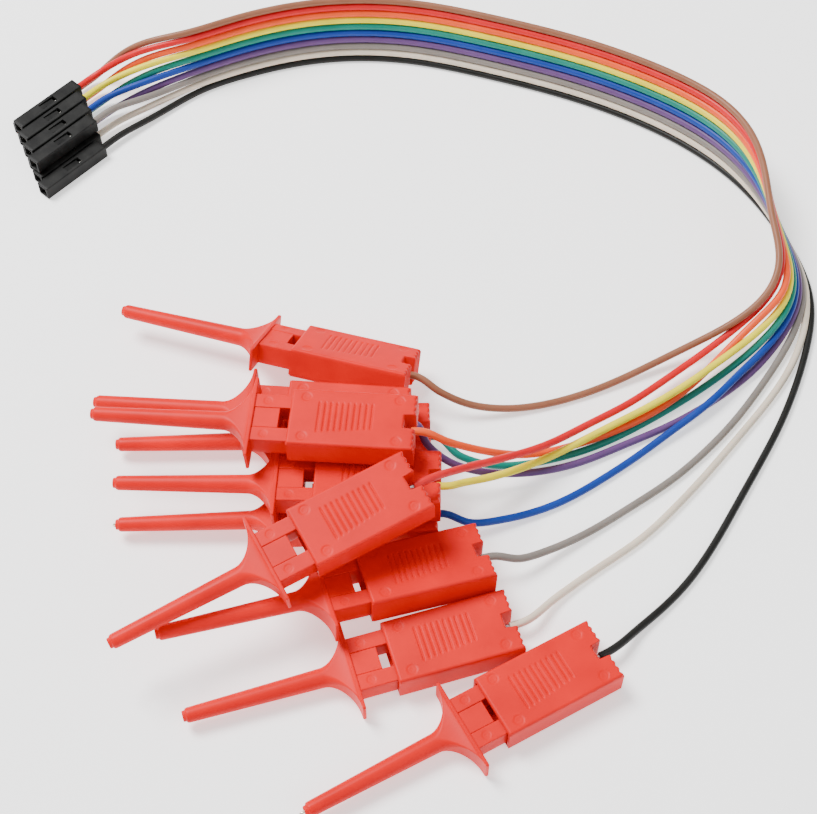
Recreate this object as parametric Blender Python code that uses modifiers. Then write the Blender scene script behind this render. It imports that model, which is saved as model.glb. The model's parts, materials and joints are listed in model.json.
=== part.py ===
"""Lead set of a logic analyzer: ten sprung hook clips on a ten-way ribbon lead.

Each way is a coloured lead. One end is crimped into a black one-way socket housing,
which pushes onto a 2.54 mm pin of the analyzer. The other end goes to a red hook clip.
A clip has a thumb sleeve, a barrel with a finger guard that slides into the sleeve,
a hook wire fixed to the sleeve and a return spring. The set lies on a flat surface.
Lengths are in millimetres here and become metres as the meshes are made.
"""
import math

import bmesh
import bpy
import numpy as np
from mathutils import Euler, Matrix, Vector

MM = 0.001

# Driving dimensions of a clip. A clip's own frame has its origin at the middle of the
# sleeve's front edge, +X towards the tip of the nose and +Z up when the clip lies flat.
SLEEVE_LENGTH, SLEEVE_WIDTH, SLEEVE_THICKNESS = 19.0, 10.0, 5.0
WALL = 0.5
EDGE_ROUND = 0.42
GAP = 0.3
TRAVEL = 4.0
NOTCH_WIDTH, NOTCH_DEPTH = 2.4, 1.7
REAR_WALL = 0.8
GUARD_X = 5.5
GUARD_HALF_SPAN = 7.1
GUARD_THICKNESS = 4.0
GUARD_FRONT_X = 10.2
NOSE_TIP_X = 30.6
NOSE_ROOT_RADIUS, NOSE_TIP_RADIUS = 1.45, 1.1
NECK_REAR_X = -8.0
WINDOW_REAR_X, WINDOW_FRONT_X, WINDOW_WIDTH = -2.4, 1.6, 3.5
HOOK_WIRE = 0.4
NOSE_BORE_RADIUS, MOUTH_RADIUS, MOUTH_DEPTH = 0.5, 0.8, 1.5
SPRING_OUTER, SPRING_INNER = 1.6, 1.0

CAVITY_WIDTH = SLEEVE_WIDTH - 2 * WALL
CAVITY_HEIGHT = SLEEVE_THICKNESS - 2 * WALL
CAVITY_REAR_X = -(SLEEVE_LENGTH - NOTCH_DEPTH - REAR_WALL)
NECK_WIDTH = CAVITY_WIDTH - 2 * GAP
NECK_THICKNESS = CAVITY_HEIGHT - 2 * GAP
NOTCH_FLOOR_X = -(SLEEVE_LENGTH - NOTCH_DEPTH)

# Driving dimensions of the leads and of their socket housings.
LEAD_DIAMETER = 0.95
RIBBON_PITCH = 1.27
LEAD_SAMPLES = 46
HOUSING_LENGTH, HOUSING_SIDE, HOUSING_BORE = 14.0, 2.54, 1.7
CRIMP_DEPTH = 3.0
FLOOR_CLEARANCE = 0.6
EARLY_RISE = 0.8

# The middle of the ten clips on the surface, seen from above: the part's origin.
SET_CENTRE = (-9.4, -26.2)

# The ways in the ribbon's order, from the edge that stands on the surface to the top,
# with the colour of the insulation.
LEAD_COLOURS = {
    "black": (0.035, 0.035, 0.032),
    "white": (0.80, 0.75, 0.66),
    "grey": (0.33, 0.31, 0.29),
    "purple": (0.21, 0.12, 0.31),
    "blue": (0.03, 0.10, 0.42),
    "green": (0.02, 0.33, 0.24),
    "yellow": (0.83, 0.76, 0.10),
    "orange": (0.90, 0.24, 0.09),
    "red": (0.72, 0.03, 0.05),
    "brown": (0.30, 0.17, 0.11),
}

# Where each clip lies: x, y, z of its own origin, then yaw, pitch and roll in degrees.
CLIP_PLACES = {
    "black": (11.7, -54.1, 2.5, -151.0, 0.0, 0.0),
    "white": (-2.7, -45.7, 2.5, -163.2, 0.0, 0.0),
    "grey": (-6.7, -35.9, 6.5, -163.2, -4.3, 7.1),
    "purple": (-18.9, -6.8, 8.0, 174.4, 1.7, 0.8),
    "blue": (-14.6, -22.6, 3.3, 181.5, 1.3, 7.0),
    "green": (-15.5, -7.9, 2.5, 181.7, 0.0, 0.0),
    "yellow": (-14.1, -19.8, 8.4, 178.5, 1.4, 6.9),
    "orange": (-17.8, -12.2, 13.4, 175.2, 1.7, 0.8),
    "red": (-15.2, -32.6, 13.2, -151.7, 5.2, -6.4),
    "brown": (-17.7, 7.4, 5.5, 163.9, 1.1, 28.5),
}
# How far each barrel already sits inside its sleeve at rest.
BARREL_REST = {"black": 1.0, "blue": 0.6}

# The ribbon stands on its black edge along this route, from the sockets to the clips.
RIBBON_EDGE = (
    (-38.8, 70.8), (-29.8, 75.0), (-20.5, 78.0), (-12.5, 79.2), (-5.0, 79.2), (2.2, 78.2),
    (9.7, 76.2), (17.1, 73.8), (24.5, 71.2), (31.8, 68.2), (38.9, 64.6), (45.9, 60.3),
    (52.7, 54.8), (58.6, 48.2), (62.8, 41.0), (66.0, 32.8), (68.0, 24.6),
)
# The ribbon leans outwards along most of its route and turns flat where it splits.
LEAN_START, LEAN_END = 20.0, -36.0
LEAN_TURN_FROM = 95.0

# From the split, each lead goes its own way to its clip: x, y, z of its route.
LEAD_TAILS = {
    "black": ((68.0, 19.5, 0.6), (66.0, 11.5, 0.6), (63.0, 3.5, 0.6), (59.5, -4.0, 0.6),
              (55.5, -11.0, 0.6), (51.0, -18.5, 0.6), (46.5, -26.0, 0.6),
              (41.0, -33.5, 0.6), (34.5, -39.5, 0.9)),
    "white": ((67.0, 19.5, 1.5), (64.8, 11.5, 0.7), (61.0, 4.5, 0.6), (56.5, -1.5, 0.6),
              (51.5, -7.5, 0.6), (46.5, -13.5, 0.6), (41.0, -19.5, 0.6),
              (35.5, -25.0, 0.6), (29.0, -29.5, 0.6), (22.5, -34.5, 0.9)),
    "grey": ((66.1, 19.0, 2.2), (62.5, 11.3, 0.8), (58.0, 4.5, 0.6), (52.5, -3.0, 0.6),
             (47.0, -9.0, 0.6), (41.0, -14.5, 0.6), (34.5, -19.0, 0.6),
             (28.0, -23.5, 0.7), (22.0, -27.0, 1.6), (17.0, -29.5, 3.0)),
    "purple": ((65.3, 19.0, 3.1), (60.6, 11.3, 1.1), (55.5, 5.5, 0.8), (49.0, 0.5, 0.6),
               (42.0, -4.0, 0.6), (34.5, -7.5, 0.6), (26.5, -11.5, 0.9),
               (18.0, -14.0, 2.1), (11.5, -15.0, 4.0), (6.5, -14.8, 6.2),
               (3.0, -12.5, 7.9)),
    "blue": ((64.6, 19.0, 4.1), (59.6, 11.0, 2.2), (54.5, 6.0, 2.0), (48.5, -0.5, 1.9),
             (42.5, -5.0, 1.3), (36.0, -10.0, 0.6), (29.0, -15.0, 0.6),
             (22.5, -19.0, 0.7), (15.5, -21.5, 1.2), (9.5, -23.0, 2.4)),
    "green": ((64.0, 19.0, 5.2), (58.7, 11.5, 3.3), (53.5, 7.5, 1.2), (47.5, 3.0, 0.6),
              (41.0, -1.5, 0.6), (34.0, -5.8, 0.6), (27.5, -9.0, 0.6),
              (21.0, -10.8, 0.6), (14.5, -12.0, 0.8), (8.0, -10.5, 1.8)),
    "yellow": ((63.4, 19.0, 6.3), (58.3, 12.8, 4.5), (50.5, 6.8, 3.2), (44.8, 2.1, 3.3),
               (38.0, -2.3, 3.1), (30.5, -6.5, 3.0), (24.0, -10.5, 3.1),
               (18.5, -13.7, 3.9), (13.5, -16.3, 5.2), (8.5, -18.7, 7.3)),
    "orange": ((62.8, 19.0, 7.4), (57.3, 13.8, 5.6), (50.5, 8.0, 1.8), (44.8, 1.9, 1.9),
               (38.0, -3.1, 1.8), (30.5, -6.9, 1.8), (24.0, -9.4, 2.0),
               (18.0, -12.0, 4.2), (12.0, -13.5, 7.8), (6.0, -14.3, 11.8)),
    "red": ((60.7, 18.8, 7.3), (54.2, 13.3, 4.0), (48.5, 9.2, 2.4), (41.5, 3.9, 2.0),
            (35.0, -1.4, 2.6), (28.0, -6.0, 3.8), (22.0, -10.5, 5.2),
            (15.5, -14.5, 8.0), (8.5, -19.0, 12.0)),
    "brown": ((60.5, 19.0, 8.7), (54.0, 13.5, 5.3), (47.5, 11.0, 2.9), (40.0, 7.5, 1.5),
              (33.0, 4.0, 0.8), (25.5, 1.0, 0.6), (17.5, -1.0, 0.9), (10.5, -1.5, 2.3),
              (5.0, -0.2, 4.6)),
}

# The sockets lie side by side in two rows, one on the other, their cable ends towards
# the ribbon. PILE_POINT is the lowest row's first cable end.
PILE_POINT = (-55.3, 55.6)
PILE_DIRECTION = (0.671, 0.741)
PILE_STAGGER = 0.45
LOWER_ROW, UPPER_ROW = HOUSING_SIDE / 2, 1.5 * HOUSING_SIDE + GAP
SOCKET_PLACES = {
    "black": (0.0, LOWER_ROW),
    "white": (2.9, LOWER_ROW),
    "grey": (3.6, UPPER_ROW),
    "purple": (5.8, LOWER_ROW),
    "blue": (6.5, UPPER_ROW),
    "green": (8.7, LOWER_ROW),
    "yellow": (9.4, UPPER_ROW),
    "orange": (11.6, LOWER_ROW),
    "red": (12.3, UPPER_ROW),
    "brown": (14.5, LOWER_ROW),
}


def clear_scene():
    """Remove every object that is in the file."""
    for thing in list(bpy.data.objects):
        bpy.data.objects.remove(thing, do_unlink=True)


def make_collection(name):
    """A collection under the scene's own."""
    group = bpy.data.collections.new(name)
    bpy.context.scene.collection.children.link(group)
    return group


def make_material(name, colour, roughness, metallic=0.0):
    """A Principled material of one colour."""
    finish = bpy.data.materials.new(name)
    finish.use_nodes = True
    shader = finish.node_tree.nodes["Principled BSDF"]
    shader.inputs["Base Color"].default_value = (*colour, 1.0)
    shader.inputs["Roughness"].default_value = roughness
    shader.inputs["Metallic"].default_value = metallic
    finish.diffuse_color = (*colour, 1.0)
    return finish


def add_object(name, data, group):
    """A new object for a mesh or a curve, in the collection given."""
    thing = bpy.data.objects.new(name, data)
    group.objects.link(thing)
    return thing


def box(name, low, high, group):
    """A box between two corners, from a unit cube."""
    low, high = Vector(low) * MM, Vector(high) * MM
    size = high - low
    shape = bmesh.new()
    bmesh.ops.create_cube(shape, size=1.0)
    place = Matrix.Translation((low + high) / 2) @ Matrix.Diagonal((*size, 1.0))
    bmesh.ops.transform(shape, matrix=place, verts=shape.verts)
    data = bpy.data.meshes.new(name)
    shape.to_mesh(data)
    shape.free()
    return add_object(name, data, group)


def cone_along_x(name, from_x, to_x, from_radius, to_radius, sides, group):
    """A cone or a cylinder along the clip's X axis."""
    length = (to_x - from_x) * MM
    shape = bmesh.new()
    bmesh.ops.create_cone(shape, cap_ends=True, segments=sides, depth=length,
                          radius1=from_radius * MM, radius2=to_radius * MM)
    place = Matrix.Translation(((from_x + to_x) / 2 * MM, 0, 0))
    place = place @ Matrix.Rotation(math.radians(90), 4, "Y")
    bmesh.ops.transform(shape, matrix=place, verts=shape.verts)
    data = bpy.data.meshes.new(name)
    shape.to_mesh(data)
    shape.free()
    return add_object(name, data, group)


def baked_mesh(thing, name):
    """The mesh of an object with its modifiers applied, with no loose doubles."""
    view = bpy.context.evaluated_depsgraph_get()
    data = bpy.data.meshes.new_from_object(thing.evaluated_get(view))
    data.name = name
    shape = bmesh.new()
    shape.from_mesh(data)
    bmesh.ops.remove_doubles(shape, verts=shape.verts, dist=0.00001)
    bmesh.ops.recalc_face_normals(shape, faces=shape.faces)
    shape.to_mesh(data)
    shape.free()
    return data


def cut_or_join(thing, others, operation):
    """Cut pieces from an object, or join them to it."""
    for other in others:
        step = thing.modifiers.new(operation.title(), "BOOLEAN")
        step.operation = operation
        step.solver = "EXACT"
        step.object = other
        other.hide_render = True
        other.display_type = "WIRE"


def extruded_outline(name, points, thickness, group):
    """A flat outline with a thickness, as a closed mesh."""
    flat = bpy.data.curves.new(name, "CURVE")
    flat.dimensions = "2D"
    flat.fill_mode = "BOTH"
    flat.extrude = thickness / 2 * MM
    line = flat.splines.new("POLY")
    line.points.add(len(points) - 1)
    for corner, (x, y) in zip(line.points, points):
        corner.co = (x * MM, y * MM, 0, 1)
    line.use_cyclic_u = True
    raw = add_object(name + "_outline", flat, group)
    bpy.context.view_layer.update()
    data = baked_mesh(raw, name)
    bpy.data.objects.remove(raw, do_unlink=True)
    return add_object(name, data, group)


def sleeve_mesh(group):
    """The thumb sleeve: a rounded box, open in front, with a cable notch behind."""
    half_width, half_height = SLEEVE_WIDTH / 2, SLEEVE_THICKNESS / 2
    sleeve = box("sleeve_shape", (-SLEEVE_LENGTH, -half_width, -half_height),
                 (0, half_width, half_height), group)
    rounding = sleeve.modifiers.new("Bevel", "BEVEL")
    rounding.width = EDGE_ROUND * MM
    rounding.segments = 2
    cavity = box("sleeve_cavity", (CAVITY_REAR_X, -CAVITY_WIDTH / 2, -CAVITY_HEIGHT / 2),
                 (1, CAVITY_WIDTH / 2, CAVITY_HEIGHT / 2), group)
    notch = box("sleeve_notch", (-SLEEVE_LENGTH - 1, -NOTCH_WIDTH / 2, -half_height - 1),
                (NOTCH_FLOOR_X, NOTCH_WIDTH / 2, half_height + 1), group)
    half_passage = HOOK_WIRE / 2 + GAP
    passage = box("sleeve_passage", (NOTCH_FLOOR_X - 0.5, -half_passage, -half_passage),
                  (CAVITY_REAR_X + 0.5, half_passage, half_passage), group)
    cut_or_join(sleeve, (cavity, notch, passage), "DIFFERENCE")
    bpy.context.view_layer.update()
    return baked_mesh(sleeve, "thumb_sleeve")


def guard_outline():
    """The finger guard seen from above: a straight back, thin wing ends, and a front edge
    that sweeps into the nose as a quarter of an ellipse on each side."""
    sweep_x, sweep_y = GUARD_X + 0.8, GUARD_HALF_SPAN - 0.1
    side = [(GUARD_X, GUARD_HALF_SPAN - 0.3), (GUARD_X + 0.25, GUARD_HALF_SPAN)]
    for step in range(8):
        turn = math.radians(90 * step / 7)
        side.append((GUARD_FRONT_X - (GUARD_FRONT_X - sweep_x) * math.cos(turn),
                     sweep_y - (sweep_y - NOSE_ROOT_RADIUS + 0.2) * math.sin(turn)))
    return side + [(x, -y) for x, y in reversed(side)]


def trumpet_cutter(name, side, group):
    """A wedge above or below the guard that thins it from its full thickness at the wings
    to the nose's own, along a quarter of an ellipse."""
    half, start_x = GUARD_THICKNESS / 2, GUARD_X + 0.8
    line = []
    for step in range(6):
        turn = math.radians(90 * step / 5)
        line.append((GUARD_FRONT_X - (GUARD_FRONT_X - start_x) * math.cos(turn),
                     half - (half - NOSE_ROOT_RADIUS + 0.05) * math.sin(turn)))
    outline = [*line, (GUARD_FRONT_X + 1, line[-1][1]), (GUARD_FRONT_X + 1, half + 1),
               (start_x, half + 1)]
    wedge = extruded_outline(name, outline, 2 * GUARD_HALF_SPAN + 2, group)
    stand_up = Matrix.Rotation(math.radians(90 * side), 4, "X")
    wedge.data.transform(stand_up)
    return wedge


def barrel_mesh(group):
    """The barrel: neck, finger guard and hollow nose in one piece."""
    neck = box("barrel_neck", (NECK_REAR_X, -NECK_WIDTH / 2, -NECK_THICKNESS / 2),
               (GUARD_X + 0.4, NECK_WIDTH / 2, NECK_THICKNESS / 2), group)
    rounding = neck.modifiers.new("Bevel", "BEVEL")
    rounding.width = 0.3 * MM
    rounding.segments = 1
    guard = extruded_outline("barrel_guard", guard_outline(), GUARD_THICKNESS, group)
    wedges = [trumpet_cutter("guard_wedge", side, group) for side in (1, -1)]
    cut_or_join(guard, wedges, "DIFFERENCE")
    nose = cone_along_x("barrel_nose", GUARD_X + 1, NOSE_TIP_X, NOSE_ROOT_RADIUS,
                        NOSE_TIP_RADIUS, 12, group)
    hollow_half, hollow_rise = 2.65, 0.6
    hollow = box("barrel_hollow", (NECK_REAR_X - 1, -hollow_half, -hollow_rise),
                 (GUARD_X + 2.1, hollow_half, hollow_rise), group)
    window = box("barrel_window", (WINDOW_REAR_X, -WINDOW_WIDTH / 2, -NECK_THICKNESS),
                 (WINDOW_FRONT_X, WINDOW_WIDTH / 2, NECK_THICKNESS), group)
    bore = cone_along_x("barrel_bore", GUARD_X + 1.5, NOSE_TIP_X + 1, NOSE_BORE_RADIUS,
                        NOSE_BORE_RADIUS, 8, group)
    mouth = cone_along_x("barrel_mouth", NOSE_TIP_X - MOUTH_DEPTH, NOSE_TIP_X + 2,
                         MOUTH_RADIUS, MOUTH_RADIUS, 12, group)
    cut_or_join(neck, (guard, nose), "UNION")
    cut_or_join(neck, (hollow, window, bore, mouth), "DIFFERENCE")
    bpy.context.view_layer.update()
    return baked_mesh(neck, "hook_barrel")


def hook_curve():
    """The hook wire: fixed behind the sleeve's rear wall, through the spring, past the
    neck's window on one side, along the nose, and bent to a small hook in its mouth."""
    beside = 2.2
    route = ((NOTCH_FLOOR_X - 0.7, 0, 0), (-12.5, 0, 0), (-7.6, 0, 0), (-6.2, 0.35, 0),
             (-5.0, beside - 0.4, 0), (-4.0, beside, 0), (0.9, beside, 0),
             (1.7, beside - 0.5, 0), (2.7, 0.4, 0), (3.5, 0, 0), (17.0, 0, 0),
             (NOSE_TIP_X - 2.0, 0, 0), (NOSE_TIP_X - 0.9, 0, 0.12),
             (NOSE_TIP_X - 0.40, 0, 0.08), (NOSE_TIP_X - 0.22, 0, -0.14),
             (NOSE_TIP_X - 0.40, 0, -0.34), (NOSE_TIP_X - 0.75, 0, -0.38))
    wire = bpy.data.curves.new("hook_wire", "CURVE")
    wire.dimensions = "3D"
    wire.bevel_depth = HOOK_WIRE / 2 * MM
    wire.bevel_resolution = 1
    wire.use_fill_caps = True
    line = wire.splines.new("POLY")
    line.points.add(len(route) - 1)
    for point, place in zip(line.points, route):
        point.co = (*(Vector(place) * MM), 1)
    return wire


def spring_mesh(front_x, name, group):
    """The return spring's envelope: a turned tube between the sleeve's rear wall and the
    neck's rear end. Its profile runs down the outer side and up the inner one."""
    rear_x = CAVITY_REAR_X + GAP
    length = front_x - GAP - rear_x
    profile = ((SPRING_OUTER, length), (SPRING_OUTER, 0), (SPRING_INNER, 0),
               (SPRING_INNER, length), (SPRING_OUTER, length))
    shape = bmesh.new()
    ring = [shape.verts.new((radius * MM, 0, height * MM)) for radius, height in profile[:4]]
    for first, second in zip(ring, ring[1:] + ring[:1]):
        shape.edges.new((first, second))
    data = bpy.data.meshes.new(name + "_profile")
    shape.to_mesh(data)
    shape.free()
    turned = add_object(name + "_shape", data, group)
    screw = turned.modifiers.new("Screw", "SCREW")
    screw.steps = 12
    screw.render_steps = 12
    screw.use_merge_vertices = True
    screw.merge_threshold = 0.00001
    bpy.context.view_layer.update()
    tube = baked_mesh(turned, name)
    lay_down = Matrix.Translation((rear_x * MM, 0, 0)) @ Matrix.Rotation(math.radians(90), 4, "Y")
    tube.transform(lay_down)
    return tube


def housing_mesh(group):
    """A one-way socket housing: a square tube along X with its cable end at the origin
    and its mating end at -X, and a small window for the contact's latch."""
    half, bore = HOUSING_SIDE / 2, HOUSING_BORE / 2
    housing = box("housing_shape", (-HOUSING_LENGTH, -half, -half), (0, half, half), group)
    hole = box("housing_bore", (-HOUSING_LENGTH - 1, -bore, -bore), (1, bore, bore), group)
    window = box("housing_window", (-8.6, -0.65, 0), (-5.2, 0.65, half + 1), group)
    cut_or_join(housing, (hole, window), "DIFFERENCE")
    bpy.context.view_layer.update()
    return baked_mesh(housing, "socket_housing")


def smooth_curve(route, samples):
    """Points evenly spaced along the smooth curve through a route's points. Each stretch
    is a cubic whose end slopes are the weighted mean of the slopes beside it."""
    route = np.array(route, dtype=float)
    step = np.linalg.norm(np.diff(route, axis=0), axis=1)
    slope = np.diff(route, axis=0) / step[:, None]
    tangent = np.empty_like(route)
    tangent[0], tangent[-1] = slope[0], slope[-1]
    before, after = step[:-1, None], step[1:, None]
    tangent[1:-1] = (slope[:-1] * after + slope[1:] * before) / (before + after)
    t = np.linspace(0, 1, 24, endpoint=False)[None, :, None]
    a, b = route[:-1, None], route[1:, None]
    ta, tb = tangent[:-1, None] * step[:, None, None], tangent[1:, None] * step[:, None, None]
    fine = ((2 * t**3 - 3 * t**2 + 1) * a + (t**3 - 2 * t**2 + t) * ta
            + (3 * t**2 - 2 * t**3) * b + (t**3 - t**2) * tb)
    fine = np.vstack([fine.reshape(-1, 3), route[-1:]])
    run = np.concatenate([[0], np.cumsum(np.linalg.norm(np.diff(fine, axis=0), axis=1))])
    wanted = np.linspace(0, run[-1], samples)
    return np.stack([np.interp(wanted, run, fine[:, axis]) for axis in range(3)], axis=1)


def ribbon_points(way):
    """The centres of one way of the ribbon. The ribbon's edge is on the surface and way
    number n is n pitches up the ribbon, which leans outwards by an angle that falls
    smoothly from LEAN_START to LEAN_END after LEAN_TURN_FROM."""
    edge = np.array([(x, y, FLOOR_CLEARANCE) for x, y in RIBBON_EDGE])
    along = np.gradient(edge, axis=0)
    along /= np.linalg.norm(along, axis=1)[:, None]
    outwards = np.stack([-along[:, 1], along[:, 0], np.zeros(len(edge))], axis=1)
    run = np.concatenate([[0], np.cumsum(np.linalg.norm(np.diff(edge, axis=0), axis=1))])
    turn = np.clip((run - LEAN_TURN_FROM) / (run[-1] - LEAN_TURN_FROM), 0, 1)
    turn = turn * turn * (3 - 2 * turn)
    lean = np.radians(LEAN_START + (LEAN_END - LEAN_START) * turn)[:, None]
    return edge + way * RIBBON_PITCH * (np.sin(lean) * outwards + np.cos(lean) * np.array([0, 0, 1]))


def clip_frame(colour):
    """The place and turn of a clip, in millimetres."""
    x, y, z, yaw, pitch, roll = CLIP_PLACES[colour]
    turn = Euler([math.radians(angle) for angle in (roll, pitch, yaw)]).to_matrix().to_4x4()
    return Matrix.Translation((x, y, z)) @ turn


def socket_frame(colour):
    """The place and turn of a socket housing: its cable end, +X along the lead."""
    across, height = SOCKET_PLACES[colour]
    forward = Vector(PILE_DIRECTION).normalized()
    aside = Vector((-forward.y, forward.x))
    place = Vector(PILE_POINT) + aside * across + forward * PILE_STAGGER * across
    turn = Matrix.Rotation(math.atan2(forward.y, forward.x), 4, "Z")
    return Matrix.Translation((place.x, place.y, height)) @ turn


def lead_route(colour):
    """A lead's route: from inside its socket, up into its way of the ribbon before the
    ways close together, and on to its clip."""
    way = list(LEAD_COLOURS).index(colour)
    socket, clip = socket_frame(colour), clip_frame(colour)
    ribbon = [Vector(point) for point in ribbon_points(way)]
    route = [socket @ Vector((x, 0, 0)) for x in (-CRIMP_DEPTH, 0.5, 4.0)]
    halfway = route[-1].lerp(ribbon[0], 0.5)
    halfway.z = route[-1].z + (ribbon[0].z - route[-1].z) * EARLY_RISE
    route += [halfway] + ribbon
    route += [Vector(point) for point in LEAD_TAILS[colour]]
    rod_end = NOTCH_FLOOR_X - 0.7
    route += [clip @ Vector((x, 0, 0)) for x in (rod_end - 1.8, rod_end - GAP)]
    return route


def lead_curve(colour):
    """A lead as a round tube along its route."""
    points = smooth_curve(lead_route(colour), LEAD_SAMPLES)
    points[:, 2] = np.maximum(points[:, 2], FLOOR_CLEARANCE)
    tube = bpy.data.curves.new("lead_" + colour, "CURVE")
    tube.dimensions = "3D"
    tube.bevel_depth = LEAD_DIAMETER / 2 * MM
    tube.bevel_resolution = 2
    tube.use_fill_caps = True
    line = tube.splines.new("POLY")
    line.points.add(len(points) - 1)
    centre = np.array([*SET_CENTRE, 0.0])
    for point, place in zip(line.points, points):
        point.co = (*((place - centre) * MM), 1)
    return tube


def empty_at(name, frame, group):
    """An empty that carries pieces: a frame in millimetres, moved to the part's origin."""
    holder = add_object(name, None, group)
    frame = Matrix.Translation((-SET_CENTRE[0], -SET_CENTRE[1], 0)) @ frame
    frame.translation = frame.translation * MM
    holder.matrix_world = frame
    return holder


def place(name, data, holder, finish, group, shift=0.0):
    """A piece on its empty, shifted along the empty's X axis."""
    piece = add_object(name, data, group)
    if not data.materials:
        data.materials.append(finish)
    piece.parent = holder
    piece.location = (shift * MM, 0, 0)
    return piece


def build():
    """Make the ten ways of the lead set."""
    clear_scene()
    parts = make_collection("logic_analyzer_lead_set")
    shapes = make_collection("shapes_and_cutters")
    red = make_material("clip_plastic", (0.78, 0.045, 0.035), 0.42)
    black = make_material("socket_plastic", (0.02, 0.02, 0.02), 0.5)
    steel = make_material("hook_steel", (0.62, 0.60, 0.56), 0.3, 1.0)
    sleeve, barrel, hook = sleeve_mesh(shapes), barrel_mesh(shapes), hook_curve()
    housing = housing_mesh(shapes)
    for colour, tint in LEAD_COLOURS.items():
        insulation = make_material("insulation_" + colour, tint, 0.4)
        rest = BARREL_REST.get(colour, 0.0)
        clip = empty_at("clip_frame_" + colour, clip_frame(colour), parts)
        spring = spring_mesh(NECK_REAR_X - rest, "return_spring_" + colour, shapes)
        place("thumb_sleeve_" + colour, sleeve, clip, red, parts)
        place("hook_barrel_" + colour, barrel, clip, red, parts, -rest)
        place("hook_wire_" + colour, hook, clip, steel, parts)
        place("return_spring_" + colour, spring, clip, steel, parts)
        socket = empty_at("socket_frame_" + colour, socket_frame(colour), parts)
        place("socket_housing_" + colour, housing, socket, black, parts)
        lead = add_object("lead_" + colour, lead_curve(colour), parts)
        lead.data.materials.append(insulation)
    for shape in list(shapes.objects):
        bpy.data.objects.remove(shape, do_unlink=True)
    bpy.context.view_layer.update()


build()
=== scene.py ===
import json
import math

import bmesh
import bpy
import numpy as np
from mathutils import Matrix, Vector


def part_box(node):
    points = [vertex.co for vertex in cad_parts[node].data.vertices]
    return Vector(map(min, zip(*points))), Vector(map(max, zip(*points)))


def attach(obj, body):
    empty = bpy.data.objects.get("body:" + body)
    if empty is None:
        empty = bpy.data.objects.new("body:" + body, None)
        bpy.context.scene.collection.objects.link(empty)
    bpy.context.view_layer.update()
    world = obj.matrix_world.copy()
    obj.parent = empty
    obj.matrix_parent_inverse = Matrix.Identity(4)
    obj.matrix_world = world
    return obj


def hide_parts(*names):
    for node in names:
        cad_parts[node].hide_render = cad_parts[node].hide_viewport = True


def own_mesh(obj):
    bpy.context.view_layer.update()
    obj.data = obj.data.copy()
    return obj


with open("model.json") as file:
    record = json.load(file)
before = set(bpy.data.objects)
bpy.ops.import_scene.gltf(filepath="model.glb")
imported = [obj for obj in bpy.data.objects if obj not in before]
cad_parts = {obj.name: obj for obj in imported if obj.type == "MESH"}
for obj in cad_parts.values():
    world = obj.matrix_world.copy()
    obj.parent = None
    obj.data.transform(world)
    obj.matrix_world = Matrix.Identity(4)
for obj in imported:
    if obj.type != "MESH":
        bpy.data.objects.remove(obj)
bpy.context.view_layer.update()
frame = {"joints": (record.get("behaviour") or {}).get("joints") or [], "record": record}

MM = 0.001

# ---------------------------------------------------------------------------------------
# The camera stands in front of the set and looks down on it at a little under 60 degrees.
# The table is a plain pale sheet that stays out of the object.
camera_aim = Vector((9.4, 26.2, 0.0)) * MM
camera_rise = math.radians(56.0)
camera_away = 259.0 * MM
lens = bpy.data.cameras.new("camera")
lens.sensor_width = 36.0
lens.lens = 70.5
camera = bpy.data.objects.new("camera", lens)
bpy.context.scene.collection.objects.link(camera)
camera_way = Vector((0, -math.cos(camera_rise), math.sin(camera_rise)))
camera.location = camera_aim + camera_away * camera_way
camera.rotation_euler = (math.pi / 2 - camera_rise, 0, 0)
bpy.context.scene.camera = camera


def make_mesh_object(name, points, faces, finish, smooth_angle=35.0):
    """An object from points in millimetres and rows of four corner numbers. Corners that
    lie on one spot are joined, faces with no area go, and all faces point outwards."""
    data = bpy.data.meshes.new(name)
    data.from_pydata((np.asarray(points) * MM).tolist(), [], np.asarray(faces).tolist())
    shape = bmesh.new()
    shape.from_mesh(data)
    bmesh.ops.remove_doubles(shape, verts=shape.verts, dist=1e-6)
    bmesh.ops.dissolve_degenerate(shape, edges=shape.edges, dist=1e-7)
    bmesh.ops.recalc_face_normals(shape, faces=shape.faces)
    shape.to_mesh(data)
    shape.free()
    data.shade_smooth()
    data.set_sharp_from_angle(angle=math.radians(smooth_angle))
    thing = bpy.data.objects.new(name, data)
    bpy.context.scene.collection.objects.link(thing)
    if finish:
        data.materials.append(finish)
    return thing


def grid_faces(rows, columns, first=0, round_again=False):
    """Corner numbers of the quads of a grid of points, row by row. With round_again the
    last column joins the first."""
    row, column = np.meshgrid(np.arange(rows - 1), np.arange(columns - (not round_again)),
                              indexing="ij")
    beside = (column + 1) % columns
    quads = np.stack([row * columns + column, row * columns + beside,
                      (row + 1) * columns + beside, (row + 1) * columns + column], axis=-1)
    return quads.reshape(-1, 4) + first


def join_grids(grids):
    """Points and faces of several grids; each is an array (rows, columns, 3) and a word
    that says whether its last column joins its first."""
    points, faces, count = [], [], 0
    for grid, round_again in grids:
        rows, columns, _ = grid.shape
        points.append(grid.reshape(-1, 3))
        faces.append(grid_faces(rows, columns, count, round_again))
        count += rows * columns
    return np.concatenate(points), np.concatenate(faces)


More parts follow.
